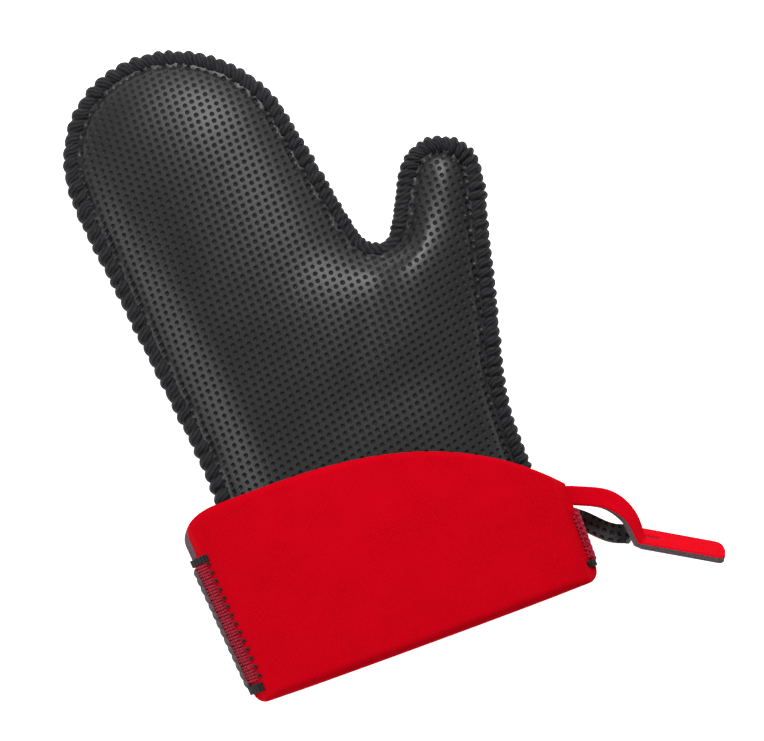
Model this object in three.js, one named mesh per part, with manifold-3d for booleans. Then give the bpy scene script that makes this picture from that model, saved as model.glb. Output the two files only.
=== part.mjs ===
// Oven mitt of two dimpled rubber panels joined by a heavy overlocked edge, with a folded
// knit-faced cuff and a slit strip for a hang loop. It lies on its back: +X to the thumb,
// +Y to the fingertips, +Z up through the palm panel. Millimetres.
import * as THREE from 'three';
import { mergeVertices } from 'three/addons/utils/BufferGeometryUtils.js';
import Module from 'manifold-3d';

const wasm = await Module();
wasm.setup();

// Outline of the mitt, measured from the middle of the cuff's foot
const mittLength = 322;      // foot of the cuff to the fingertips
const fingerX = -35.5;       // middle of the finger end
const fingerRadius = 59.5;   // half the width over the fingers
const fingerShoulder = 2.6;  // how far the outer shoulder of the finger end is fuller than a circle
const shoulderAngle = 125;   // where that shoulder lies, in degrees
const thumbX = 83;
const thumbY = 213.5;
const thumbRadius = 20.8;
const webX = 43.6;           // centre of the small arc between fingers and thumb
const webY = 200.8;
const webRadius = 7.8;
const wristX = -1;
const wristHalfWidth = 76;
const wristTop = 112;        // where the sides begin to spread
const bodyFoot = 14;         // lower raw edge of the panels, inside the cuff
const outlineSteps = 92;

// Materials' thicknesses and the clearance between layers
const laminate = 3.5;
const liningThickness = 0.9;
const gap = 0.3;
const curveClearance = 0.9;  // between curved layers that are faceted differently

// How the mitt is filled out
const seamHeight = 13;       // height of the seam plane over the surface it rests on
const palmCrown = 17.5;
const backCrown = 15;
const crownSpread = 18;      // distance from the seam over which the crown builds up
const flatBand = 6;          // width of the flat edge that the seam holds
const cell = 14;             // grid of the curved sheets
const fieldCell = 3;         // grid on which the crown is worked out
const weldDistance = 0.03;

// Overlocked edge
const seamWidth = 8;
const seamHalfHeight = 6.8;
const seamCorner = 1.8;
const threadStep = 9;        // length of one straight piece of the bead
const seamOutside = 2;       // how far the thread stands outside the raw edges

// Cuff
const cuffLeftFoot = -90;
const cuffLeftTop = -98;
const cuffRight = 87.2;
const cuffCrown = 22;
const flapCrownX = -65;      // highest point of the free edge
const flapCrownY = 97;
const flapDropLeft = 8.6;
const flapDropRight = 47.6;
const hemHeight = 12;
const hemSlot = 3.5;         // space inside the rolled fold
const hemEdge = 1;           // thickness of the turned-in laminate where the side seams pinch it
const pinchedSlot = 0.4;
const cuffColumns = 20;      // facets across a leaf
const liftFade = 12;         // height over which the fold's bulge at the side seams dies out

// Side seams of the cuff
const sideSeamWidth = 9;
const threadWrap = 1.5;      // thickness of the wrapped thread over the knit
const leftSeamFoot = 11;
const leftSeamTop = 71;
const rightSeamFoot = 11;
const tackLength = 4.5;
const tackSwell = 0.7;       // how much fuller a bartack is than the seam

// Row of stitching that joins the panels to the cuff
const joinRowY = 26;
const joinRowHeight = 2.4;
const joinRowThickness = 1;

// Hang loop: one strip, slit from its sewn end into two legs. Its X values are measured from the
// cuff's right edge
const stripWidth = 20.5;
const slitWidth = 1.2;
const tabLength = 42;
const slitInTab = 12;
const forkX = 25.5;          // where the two legs meet
const forkY = 11.9;
const loopAxisX = 3.3;       // the strip bends about this line beside the cuff
const swingStart = 9;        // where the swinging part of the legs begins
const frontLegWay = [[-6.7, 45.5], [3.8, 41.5], [16.8, 34.5], [23.3, 24]];
const backLegWay = [[-4.2, 35.5], [3.3, 30], [14.3, 20.5]];
const backLegRise = 0.8;     // the back leg lies under the cuff, this far off the surface
const legRise = 2;           // how far both legs arch upwards on their way to the fork
const tabHeading = -30.3;    // degrees from +X
const tabTilt = 66;          // degrees that the tab's face is turned from +Z

const vec = (x, y, z = 0) => new THREE.Vector3(x, y, z);
const lerp = THREE.MathUtils.lerp;
const clamp = THREE.MathUtils.clamp;
const radians = THREE.MathUtils.degToRad;
const smooth = (value, from, to) => THREE.MathUtils.smoothstep(value, from, to);

// A closed geometry as a solid that can be cut and joined
function solidOf(geometry) {
  const bare = geometry.clone();
  bare.deleteAttribute('normal');
  bare.deleteAttribute('uv');
  const merged = mergeVertices(bare, 1e-4);
  const vertProperties = new Float32Array(merged.attributes.position.array);
  const triVerts = new Uint32Array(merged.index.array);
  return new wasm.Manifold(new wasm.Mesh({ numProp: 3, vertProperties, triVerts }));
}

function geometryOf(solid) {
  const mesh = solid.getMesh();
  const geometry = new THREE.BufferGeometry();
  geometry.setAttribute('position', new THREE.BufferAttribute(mesh.vertProperties, mesh.numProp));
  geometry.setIndex(new THREE.BufferAttribute(mesh.triVerts, 1));
  geometry.computeVertexNormals();
  return geometry;
}

// Cuts leave hair-thin facets: corners closer than the weld distance become one
function weld(solid) {
  const merged = mergeVertices(geometryOf(solid).deleteAttribute('normal'), weldDistance);
  const corners = Array.from(merged.index.array);
  const kept = corners.filter((_, k) => {
    const [a, b, c] = corners.slice(k - k % 3, k - k % 3 + 3);
    return a !== b && b !== c && c !== a;
  });
  merged.setIndex(kept);
  return solidOf(merged);
}

function largestPiece(solid) {
  const pieces = weld(solid).decompose();
  return pieces.reduce((best, piece) => (piece.volume() > best.volume() ? piece : best));
}

// A sheet with two faces: place(i, j, side) gives the point of each face, side 0 or 1
function thickSheet(columns, rows, place) {
  const points = [];
  const index = [];
  const at = (i, j, side) => side * (columns + 1) * (rows + 1) + j * (columns + 1) + i;
  const quad = (a, b, c, d) => index.push(a, b, c, a, c, d);
  for (const side of [0, 1]) {
    for (let j = 0; j <= rows; j++) {
      for (let i = 0; i <= columns; i++) points.push(place(i, j, side));
    }
  }
  for (let j = 0; j < rows; j++) {
    for (let i = 0; i < columns; i++) {
      index.push(at(i, j, 1), at(i + 1, j, 1), at(i + 1, j + 1, 1));
      index.push(at(i, j, 1), at(i + 1, j + 1, 1), at(i, j + 1, 1));
      index.push(at(i, j, 0), at(i + 1, j + 1, 0), at(i + 1, j, 0));
      index.push(at(i, j, 0), at(i, j + 1, 0), at(i + 1, j + 1, 0));
    }
    quad(at(0, j, 0), at(0, j, 1), at(0, j + 1, 1), at(0, j + 1, 0));
    quad(at(columns, j, 0), at(columns, j + 1, 0), at(columns, j + 1, 1), at(columns, j, 1));
  }
  for (let i = 0; i < columns; i++) {
    quad(at(i, 0, 0), at(i + 1, 0, 0), at(i + 1, 0, 1), at(i, 0, 1));
    quad(at(i, rows, 0), at(i, rows, 1), at(i + 1, rows, 1), at(i + 1, rows, 0));
  }
  const volume = index.reduce((sum, _, k) => (
    k % 3 ? sum : sum + points[index[k]].dot(points[index[k + 1]].clone().cross(points[index[k + 2]]))), 0);
  if (volume < 0) index.reverse();
  const geometry = new THREE.BufferGeometry().setFromPoints(points);
  geometry.setIndex(index);
  return solidOf(geometry);
}

function prism(line, low, high) {
  const shape = new THREE.Shape(line.map((p) => new THREE.Vector2(p.x, p.y)));
  const geometry = new THREE.ExtrudeGeometry(shape, { depth: high - low, bevelEnabled: false });
  geometry.translate(0, 0, low);
  return solidOf(geometry);
}

// ---- outline of the body ----

function arc(x, y, radius, from, to, count) {
  return Array.from({ length: count }, (_, i) => {
    const angle = radians(lerp(from, to, i / (count - 1)));
    return vec(x + radius * Math.cos(angle), y + radius * Math.sin(angle));
  });
}

function fingerEnd() {
  const centreY = mittLength - fingerRadius;
  return arc(fingerX, centreY, 1, 182, -2, 9).map((p) => {
    const angle = Math.atan2(p.y - centreY, p.x - fingerX);
    const radius = fingerRadius + fingerShoulder * Math.cos(2 * (angle - radians(shoulderAngle)));
    return vec(fingerX + radius * (p.x - fingerX), centreY + radius * (p.y - centreY));
  });
}

// Outer line of the overlocked edge, from the left foot over the fingers to the right foot
function outerLine(foot) {
  const left = wristX - wristHalfWidth;
  const right = wristX + wristHalfWidth;
  const fingers = fingerEnd();
  const thumb = arc(thumbX, thumbY, thumbRadius, 148, -12, 7);
  const between = (a, b, share) => a.clone().lerp(b, share);
  const leftWrist = vec(left, wristTop);
  const rightWrist = vec(right + 1, wristTop - 12);
  const curve = new THREE.CatmullRomCurve3([
    vec(left, foot), vec(left, (foot + wristTop) / 2), leftWrist,
    between(leftWrist, fingers[0], 0.35), between(leftWrist, fingers[0], 0.7), ...fingers,
    ...arc(webX, webY, webRadius, 192, 345, 5), ...thumb,
    between(thumb[6], rightWrist, 0.3), between(thumb[6], rightWrist, 0.65), rightWrist,
    vec(right, (foot + wristTop) / 2), vec(right, foot),
  ], false, 'centripetal');
  return curve.getSpacedPoints(outlineSteps);
}

// The line moved inwards; inwards is to the right of the way round
function inset(line, distance) {
  return line.map((p, i) => {
    const before = line[Math.max(i - 1, 0)];
    const after = line[Math.min(i + 1, line.length - 1)];
    const along = after.clone().sub(before).normalize();
    return vec(p.x + distance * along.y, p.y - distance * along.x);
  });
}

function isInside(x, y, line) {
  let inside = false;
  for (let i = 0, j = line.length - 1; i < line.length; j = i++) {
    const a = line[i];
    const b = line[j];
    if ((a.y > y) !== (b.y > y) && x < (b.x - a.x) * (y - a.y) / (b.y - a.y) + a.x) inside = !inside;
  }
  return inside;
}

const edgeLine = outerLine(bodyFoot);
const panelLine = inset(edgeLine, seamOutside);

// ---- crown of the panels ----

// Share of the full crown at each point: the stretched-skin equation, skin curvature plus
// height over spread squared equals one, is relaxed on a square grid with the edge held at 0
function crownField() {
  const deepFoot = bodyFoot - 4 * crownSpread;
  const held = inset(outerLine(deepFoot), flatBand);
  const box = new THREE.Box3().setFromPoints(held);
  const nx = Math.ceil((box.max.x - box.min.x) / fieldCell) + 3;
  const ny = Math.ceil((box.max.y - box.min.y) / fieldCell) + 3;
  const originX = box.min.x - fieldCell;
  const originY = box.min.y - fieldCell;
  const share = new Float64Array(nx * ny);
  const free = [];
  for (let j = 1; j < ny - 1; j++) {
    for (let i = 1; i < nx - 1; i++) {
      if (isInside(originX + i * fieldCell, originY + j * fieldCell, held)) free.push(j * nx + i);
    }
  }
  const source = (fieldCell / crownSpread) ** 2;
  const relaxation = 1.75;
  for (let pass = 0; pass < 220; pass++) {
    for (const k of free) {
      const sum = share[k - 1] + share[k + 1] + share[k - nx] + share[k + nx];
      share[k] += relaxation * ((sum + source) / (4 + source) - share[k]);
    }
  }
  return (x, y) => {
    const fx = (x - originX) / fieldCell;
    const fy = (y - originY) / fieldCell;
    const i = Math.floor(fx);
    const j = Math.floor(fy);
    if (i < 0 || j < 0 || i >= nx - 1 || j >= ny - 1) return 0;
    const k = j * nx + i;
    const lower = lerp(share[k], share[k + 1], fx - i);
    const upper = lerp(share[k + nx], share[k + nx + 1], fx - i);
    return lerp(lower, upper, fy - j);
  };
}

const crown = crownField();
const halfStack = gap / 2 + liningThickness + gap + laminate;

// Slanted layers are thicker when measured straight up
function slantFactor(x, y, height) {
  const dx = (crown(x + cell / 2, y) - crown(x - cell / 2, y)) * height / cell;
  const dy = (crown(x, y + cell / 2) - crown(x, y - cell / 2)) * height / cell;
  return Math.min(Math.hypot(1, dx, dy), 1.4);
}

// Where the back panel may lie lowest: on the surface, or above the cuff's back leaf
function backFloor(y) {
  return (laminate + curveClearance) * (1 - smooth(y, flapCrownY + 4, flapCrownY + 30));
}

// Height of the plane `depth` mm in from the outer face of a panel; side 1 is the palm, -1 the back
function layerHeight(side, x, y, depth) {
  const height = side > 0 ? palmCrown : backCrown;
  const outer = seamHeight + side * (halfStack + height * crown(x, y));
  const laid = side > 0 ? outer : Math.max(outer, backFloor(y));
  const layer = laid - side * depth * slantFactor(x, y, height);
  const middle = seamHeight + side * gap / 2;
  return side > 0 ? Math.max(layer, middle) : Math.min(layer, middle);
}

// All curved sheets share one grid, so layers that are clear at its nodes are clear everywhere
function gridSheet(low, high) {
  const box = new THREE.Box3().setFromPoints(edgeLine);
  const i0 = Math.floor(box.min.x / cell) - 1;
  const j0 = Math.floor(box.min.y / cell) - 1;
  const columns = Math.ceil(box.max.x / cell) + 1 - i0;
  const rows = Math.ceil(box.max.y / cell) + 1 - j0;
  return thickSheet(columns, rows, (i, j, side) => {
    const x = (i0 + i) * cell;
    const y = (j0 + j) * cell;
    return vec(x, y, side ? high(x, y) : low(x, y));
  });
}

function layer(side, from, to, line) {
  const near = (x, y) => layerHeight(side, x, y, from);
  const far = (x, y) => layerHeight(side, x, y, to);
  const sheet = side > 0 ? gridSheet(far, near) : gridSheet(near, far);
  return largestPiece(sheet.intersect(prism(line, -20, seamHeight + 60)));
}

function panel(side) {
  return layer(side, 0, laminate, panelLine);
}

function lining(side) {
  const from = laminate + gap;
  return layer(side, from, from + liningThickness, panelLine);
}

// Everything between the outer faces of the two panels, with the clearance round it
function bodyEnvelope(clearance) {
  const sheet = gridSheet(
    (x, y) => layerHeight(-1, x, y, 0) - clearance,
    (x, y) => layerHeight(1, x, y, 0) + clearance);
  const line = inset(outerLine(bodyFoot - clearance), seamOutside - clearance);
  return sheet.intersect(prism(line, -20, seamHeight + 60));
}

// ---- seams ----

// Thread run round the raw edges: a cornered bead, first along Z and then across the seam,
// carried along the seam's middle line and hollowed by the panels that it grips
function edgeSeam() {
  const half = seamWidth / 2;
  const section = new THREE.Shape();
  section.moveTo(seamHalfHeight, -half + seamCorner);
  section.lineTo(seamHalfHeight, half - seamCorner);
  section.lineTo(seamHalfHeight - seamCorner, half);
  section.lineTo(-seamHalfHeight + seamCorner, half);
  section.lineTo(-seamHalfHeight, half - seamCorner);
  section.lineTo(-seamHalfHeight, -half + seamCorner);
  section.lineTo(-seamHalfHeight + seamCorner, -half);
  section.lineTo(seamHalfHeight - seamCorner, -half);
  const middle = inset(edgeLine, half).map((p) => vec(p.x, p.y, seamHeight));
  const path = new THREE.CatmullRomCurve3(middle, false, 'centripetal');
  const steps = Math.round(path.getLength() / threadStep);
  const bead = solidOf(new THREE.ExtrudeGeometry(section, { steps, bevelEnabled: false, extrudePath: path }));
  return largestPiece(bead.subtract(bodyEnvelope(gap)));
}

// ---- cuff ----

function cuffLeft(y) {
  return lerp(cuffLeftFoot, cuffLeftTop, y / (flapCrownY - flapDropLeft));
}

function cuffX(share, y) {
  return lerp(cuffLeft(y), cuffRight, share);
}

// Free upper edge: it falls as a square to the left of its crown and as a cube to the right
function flapTop(share) {
  const x = lerp(cuffLeftTop, cuffRight, share);
  const left = clamp((flapCrownX - x) / (flapCrownX - cuffLeftTop), 0, 1);
  const right = clamp((x - flapCrownX) / (cuffRight - flapCrownX), 0, 1);
  return flapCrownY - flapDropLeft * left ** 2 - flapDropRight * right ** 3;
}

// How far the inner face of a cuff leaf stands from the seam plane
function leafDepth(side, share, y) {
  const x = cuffX(share, y);
  const half = (cuffRight - cuffLeftFoot) / 2;
  const across = 2 * share - 1;
  const own = 1 - Math.cosh(across * half / crownSpread) / Math.cosh(half / crownSpread);
  const fade = 1 - smooth(y, hemHeight, hemHeight + liftFade);
  const lift = (gap + hemThickness(share) + slotAt(share)) * fade;
  const body = Math.abs(layerHeight(side, x, y, 0) - seamHeight) + curveClearance;
  const fromWrist = Math.abs(x - wristX) - wristHalfWidth;
  const onBody = fromWrist < gap ? body : 0;
  const onSeam = (seamHalfHeight + curveClearance) * (1 - smooth(fromWrist, 2, 9));
  const overLeg = (laminate + 3 * gap) * smooth(x, cuffRight - 15, cuffRight - 9) * smooth(y, 31, 36);
  const onLeg = side > 0 ? overLeg : 0;
  const depth = Math.max(gap / 2 + own * (side > 0 ? cuffCrown : backCrown), lift, onBody, onSeam, onLeg);
  return side > 0 ? depth : Math.min(depth, seamHeight - laminate);
}

// The same depth on the flat facets between the leaf's own stations
function facetDepth(side, share, y) {
  const station = clamp(share, 0, 1) * cuffColumns;
  const before = Math.min(Math.floor(station), cuffColumns - 1);
  const near = leafDepth(side, before / cuffColumns, y);
  const far = leafDepth(side, (before + 1) / cuffColumns, y);
  return lerp(near, far, station - before);
}

function pinch(share) {
  return smooth(Math.abs(2 * share - 1), 0.8, 0.97);
}

function hemThickness(share) {
  return lerp(laminate, hemEdge, pinch(share));
}

function slotAt(share) {
  return lerp(hemSlot, pinchedSlot, pinch(share));
}

// One leaf, its rolled fold and its turned-in hem; `grow` is a clearance all round it
function cuffSheet(side, grow = 0) {
  const columns = cuffColumns;
  const leafRows = 7;
  const foldRows = 6;
  const hemRows = 1;
  const rows = leafRows + foldRows + hemRows;
  return thickSheet(columns, rows, (i, j, face) => {
    const share = i / columns;
    const slot = slotAt(share);
    const hem = hemThickness(share);
    const radius = (laminate + slot + hem) / 2;
    const lean = 1 + 2 * grow / (cuffRight - cuffLeftFoot);
    const outside = face === 1;
    let y;
    let depth;
    if (j <= leafRows) {
      y = lerp(flapTop(share) + grow, radius, j / leafRows);
      depth = leafDepth(side, share, y) + (outside ? laminate + grow : -grow);
    } else if (j < leafRows + foldRows) {
      const angle = Math.PI * (0.5 - (j - leafRows) / foldRows);
      const inner = leafDepth(side, share, radius);
      const ring = outside ? radius + grow : slot / 2 - grow;
      const centre = outside ? inner + laminate - radius : inner - slot / 2;
      y = radius - ring * Math.cos(angle);
      depth = centre + ring * Math.sin(angle);
    } else {
      const climb = (j - leafRows - foldRows) / hemRows;
      y = lerp(radius, hemHeight + grow, climb);
      depth = leafDepth(side, share, y) - slot - (outside ? hem + grow : -grow);
    }
    const middle = (cuffLeft(y) + cuffRight) / 2;
    const x = middle + (cuffX(share, y) - middle) * lean;
    return vec(x, y, seamHeight + side * depth);
  });
}

function cuffLeaf(side) {
  const clear = cuffSheet(side).subtract(bodyEnvelope(gap));
  return largestPiece(clear.subtract(legStrip(side, sewnPart, gap)));
}

// A stretch of side seam: thread wrapped over the raw edges of both leaves. Round the section it
// runs down the front leaf to the edge, round the outside and back over the back leaf
function sideSeam(right, from, to, swell = 0) {
  const way = right ? 1 : -1;
  const lipRows = 3;
  const edgeShare = right ? 1 : 0;
  return thickSheet(7, 2 * lipRows + 2, (i, j, face) => {
    const y = lerp(from, to, i / 7);
    const side = j <= lipRows ? 1 : -1;
    const fromLip = (side > 0 ? j : 2 * lipRows + 2 - j) / lipRows;
    const outside = face ? seamOutside + swell : gap;
    const edge = cuffX(edgeShare, y);
    if (j === lipRows + 1) return vec(edge + way * outside, y, seamHeight);
    const reach = sideSeamWidth - seamOutside;
    const x = fromLip < 1 ? edge - way * reach * (1 - fromLip) : edge + way * outside * 0.7;
    const share = (Math.min(x * way, edge * way) * way - cuffLeft(y)) / (cuffRight - cuffLeft(y));
    const wrap = face ? threadWrap + swell : 0;
    const depth = facetDepth(side, share, y) + laminate + curveClearance + wrap;
    return vec(x, y, seamHeight + side * depth);
  });
}

function bartack(right, from) {
  return sideSeam(right, from, from + tackLength, tackSwell);
}

// The right seam ends just below the front leg of the hang loop
function rightSeamTop() {
  const lowest = legStations(1).filter(sewnPart)
    .map(({ at, across }) => at.y - Math.abs(across.y) * legWidth / 2);
  return Math.min(...lowest) - gap;
}

// Thread row on the inside of a lining, where the panel is sewn to the cuff
function joinRow(side) {
  const from = laminate + gap + liningThickness + gap;
  const reach = wristHalfWidth - seamWidth - flatBand;
  const band = [
    vec(wristX - reach, joinRowY), vec(wristX + reach, joinRowY),
    vec(wristX + reach, joinRowY + joinRowHeight), vec(wristX - reach, joinRowY + joinRowHeight),
  ];
  return layer(side, from, from + joinRowThickness, band);
}

// ---- hang loop ----

// Directions of the tab: along it, across it, and out of its knit face
const tabAlong = vec(Math.cos(radians(tabHeading)), Math.sin(radians(tabHeading)));
const tabFace = vec(0, 0, 1).applyAxisAngle(tabAlong, -radians(tabTilt));
const tabAcross = tabFace.clone().cross(tabAlong);
const fork = vec(cuffRight + forkX, forkY, seamHeight);
const legWidth = (stripWidth - slitWidth) / 2;
const legOffset = (stripWidth + slitWidth) / 4;

// Middle line and face direction of each leg, from its sewn end to the fork
function legStations(side) {
  const way = side > 0 ? frontLegWay : backLegWay;
  const height = side > 0 ? seamHeight + gap + laminate / 2 : backLegRise + laminate / 2;
  const end = fork.clone().addScaledVector(tabAcross, -side * legOffset);
  const free = way.length - 2; // stations between the cuff and the fork
  const points = way.map(([x, y], i) => {
    const share = Math.max(i - 1, 0) / (free + 1);
    return vec(cuffRight + x, y, lerp(height, end.z, share) + legRise * Math.sin(Math.PI * share));
  });
  const curve = new THREE.CatmullRomCurve3([...points, end], false, 'centripetal');
  return Array.from({ length: 15 }, (_, i) => {
    const share = i / 14;
    const along = curve.getTangentAt(share);
    const twist = side * (1 - smooth(share, 0.28, 1)) * (side > 0 ? tabTilt : 180 - tabTilt);
    const face = tabFace.clone().applyAxisAngle(along, radians(twist));
    const across = face.clone().cross(along).normalize();
    const out = along.clone().cross(across).normalize();
    return { at: curve.getPointAt(share), across, out };
  });
}

// Reach of a leg's edges towards the fingers or the foot, in X
const edgeReach = (across) => Math.abs(across.x) * legWidth / 2;
const sewnPart = ({ at, across }) => at.x + edgeReach(across) < cuffRight + loopAxisX;
const swingingPart = ({ at, across }) => at.x - edgeReach(across) > cuffRight + swingStart;

// The part of a leg for which keep(station) holds, as a strip of laminate
function legStrip(side, keep, grow = 0) {
  const stations = legStations(side).filter(keep);
  return thickSheet(stations.length - 1, 1, (i, j, face) => {
    const { at, across, out } = stations[i];
    return at.clone()
      .addScaledVector(across, (legWidth + 2 * grow) * (j - 0.5))
      .addScaledVector(out, (laminate + 2 * grow) * (face - 0.5));
  });
}

function tab() {
  const half = stripWidth / 2;
  const shape = new THREE.Shape();
  shape.moveTo(0, slitWidth / 2);
  shape.lineTo(0, half);
  shape.lineTo(tabLength - half, half);
  shape.absarc(tabLength - half, 0, half, Math.PI / 2, -Math.PI / 2, true);
  shape.lineTo(0, -half);
  shape.lineTo(0, -slitWidth / 2);
  shape.lineTo(slitInTab, -slitWidth / 2);
  shape.lineTo(slitInTab, slitWidth / 2);
  const geometry = new THREE.ExtrudeGeometry(shape, { depth: laminate, bevelEnabled: false, curveSegments: 12 });
  geometry.translate(0, 0, -laminate / 2);
  geometry.applyMatrix4(new THREE.Matrix4().makeBasis(tabAlong, tabAcross.clone(), tabAlong.clone().cross(tabAcross)));
  geometry.translate(fork.x, fork.y, fork.z);
  return solidOf(geometry);
}

function hangLoop() {
  return tab().add(legStrip(1, swingingPart)).add(legStrip(-1, swingingPart));
}

function loopEnd(side) {
  const seam = sideSeam(true, rightSeamFoot, rightSeamTop(), gap);
  const layers = [cuffSheet(1, gap), cuffSheet(-1, gap), seam];
  return largestPiece(layers.reduce((solid, cutter) => solid.subtract(cutter), legStrip(side, sewnPart)));
}

// ---- assembly ----

const finishes = {
  rubber: { color: 0x39383c, roughness: 0.55, metalness: 0 },
  knit: { color: 0xc40a22, roughness: 0.9, metalness: 0 },
  lining: { color: 0xa81020, roughness: 0.95, metalness: 0 },
  thread: { color: 0x2c2b2d, roughness: 0.85, metalness: 0 },
};

const pieces = [
  ['palm_panel', 'rubber', panel(1)],
  ['back_panel', 'rubber', panel(-1)],
  ['palm_lining', 'lining', lining(1)],
  ['back_lining', 'lining', lining(-1)],
  ['edge_seam', 'thread', edgeSeam()],
  ['cuff_front', 'knit', cuffLeaf(1)],
  ['cuff_back', 'knit', cuffLeaf(-1)],
  ['cuff_left_seam', 'thread', sideSeam(false, leftSeamFoot, leftSeamTop)],
  ['left_seam_top_tack', 'thread', bartack(false, leftSeamTop + gap)],
  ['left_seam_foot_tack', 'thread', bartack(false, leftSeamFoot - gap - tackLength)],
  ['cuff_right_seam', 'thread', sideSeam(true, rightSeamFoot, rightSeamTop())],
  ['right_seam_foot_tack', 'thread', bartack(true, rightSeamFoot - gap - tackLength)],
  ['front_join_stitching', 'thread', joinRow(1)],
  ['back_join_stitching', 'thread', joinRow(-1)],
  ['loop_front_end', 'knit', loopEnd(1)],
  ['loop_back_end', 'knit', loopEnd(-1)],
  ['hang_loop', 'knit', hangLoop()],
];

const mitt = new THREE.Group();
for (const [name, finish, solid] of pieces) {
  const mesh = new THREE.Mesh(geometryOf(solid), new THREE.MeshStandardMaterial(finishes[finish]));
  mesh.name = name;
  mitt.add(mesh);
}
const whole = new THREE.Box3().setFromObject(mitt);
const centre = whole.getCenter(vec(0, 0));
mitt.position.set(-centre.x, -centre.y, -whole.min.z);
mitt.updateMatrixWorld(true);

export default mitt;
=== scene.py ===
import math
import bmesh
import bpy
import numpy as np
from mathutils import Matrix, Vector
from mathutils.geometry import delaunay_2d_cdt


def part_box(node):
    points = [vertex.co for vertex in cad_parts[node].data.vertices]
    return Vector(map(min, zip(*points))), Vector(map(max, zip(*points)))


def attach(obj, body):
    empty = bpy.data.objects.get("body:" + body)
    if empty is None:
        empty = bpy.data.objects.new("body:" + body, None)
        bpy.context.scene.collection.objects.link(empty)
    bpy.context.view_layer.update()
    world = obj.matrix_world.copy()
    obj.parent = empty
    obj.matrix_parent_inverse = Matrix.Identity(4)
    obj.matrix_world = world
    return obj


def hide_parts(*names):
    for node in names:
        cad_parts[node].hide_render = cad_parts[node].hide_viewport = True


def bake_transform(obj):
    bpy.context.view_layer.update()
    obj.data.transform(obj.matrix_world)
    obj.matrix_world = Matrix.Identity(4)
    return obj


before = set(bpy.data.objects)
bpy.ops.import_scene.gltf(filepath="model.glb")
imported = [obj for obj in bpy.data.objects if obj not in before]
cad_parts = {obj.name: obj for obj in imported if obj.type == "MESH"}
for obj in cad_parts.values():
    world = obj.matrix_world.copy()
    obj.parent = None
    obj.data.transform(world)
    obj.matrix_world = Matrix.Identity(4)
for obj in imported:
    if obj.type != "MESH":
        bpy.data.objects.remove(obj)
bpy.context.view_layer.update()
print("frame loaded:", len(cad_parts), "nodes")

# Sizes in millimetres, on the mitt's own axes: x to the thumb, y from the cuff's foot to the fingertips
mitt = {
    "length": 322, "fingerX": -35.5, "fingerRadius": 59.5, "fingerShoulder": 2.6, "shoulderAngle": 125,
    "thumbX": 83, "thumbY": 213.5, "thumbRadius": 20.8, "webX": 43.6, "webY": 200.8, "webRadius": 7.8,
    "wristX": -1, "wristHalf": 76, "wristTop": 112, "foot": 14,
    "seamHeight": 13, "palmCrown": 17.5, "backCrown": 15, "spread": 18, "flatBand": 6,
    "halfStack": 4.85, "laminate": 3.5, "cuffRight": 87.2,
    "grooveDeep": 1.3, "grooveFrom": 9.6, "grooveHalf": 1.3,    # beside the overlocked edge
}
cuffLow, cuffHigh = (np.array(corner) * 1000 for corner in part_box("cuff_front"))
seamHeight, laminate, cuffRight = (mitt[key] for key in ("seamHeight", "laminate", "cuffRight"))
origin = np.array([cuffHigh[0] - cuffRight, cuffLow[1], 0.0])


def toWorld(points):
    # millimetres on the mitt's axes to metres in the frame
    return (np.asarray(points, float) + origin) / 1000


def smoothStep(value, low, high):
    t = np.clip((np.asarray(value, float) - low) / (high - low), 0, 1)
    return t * t * (3 - 2 * t)


def softMax(a, b, width):
    # the larger of two values, with the corner between them rounded over width
    h = np.clip(0.5 + 0.5 * (a - b) / width, 0, 1)
    return b + (a - b) * h + width * h * (1 - h)


def unit(v):
    return v / np.maximum(np.linalg.norm(v, axis=-1, keepdims=True), 1e-12)


def stacked(*parts):
    # parts brought to one shape and put side by side as coordinates
    return np.stack(np.broadcast_arrays(*parts), -1)


def circle(sides):
    return np.arange(sides) / sides * 2 * np.pi


def runAlong(line, power=1):
    # distance from the first point to each; a power under one makes a curve's knots of it
    return np.concatenate([[0], np.cumsum(np.linalg.norm(np.diff(line, axis=0), axis=1) ** power)])


def usedOnce(a, b):
    # which of the edges from a to b belong to one face only
    _, where, uses = np.unique(np.sort(np.stack([a, b], -1), 1) @ [1000000, 1],
                               return_inverse=True, return_counts=True)
    return uses[where] == 1


def groupOf(faces):
    # for each face, the number of the group it is in
    return np.repeat(np.arange(len(faces)), [len(group) for group in faces])


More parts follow.
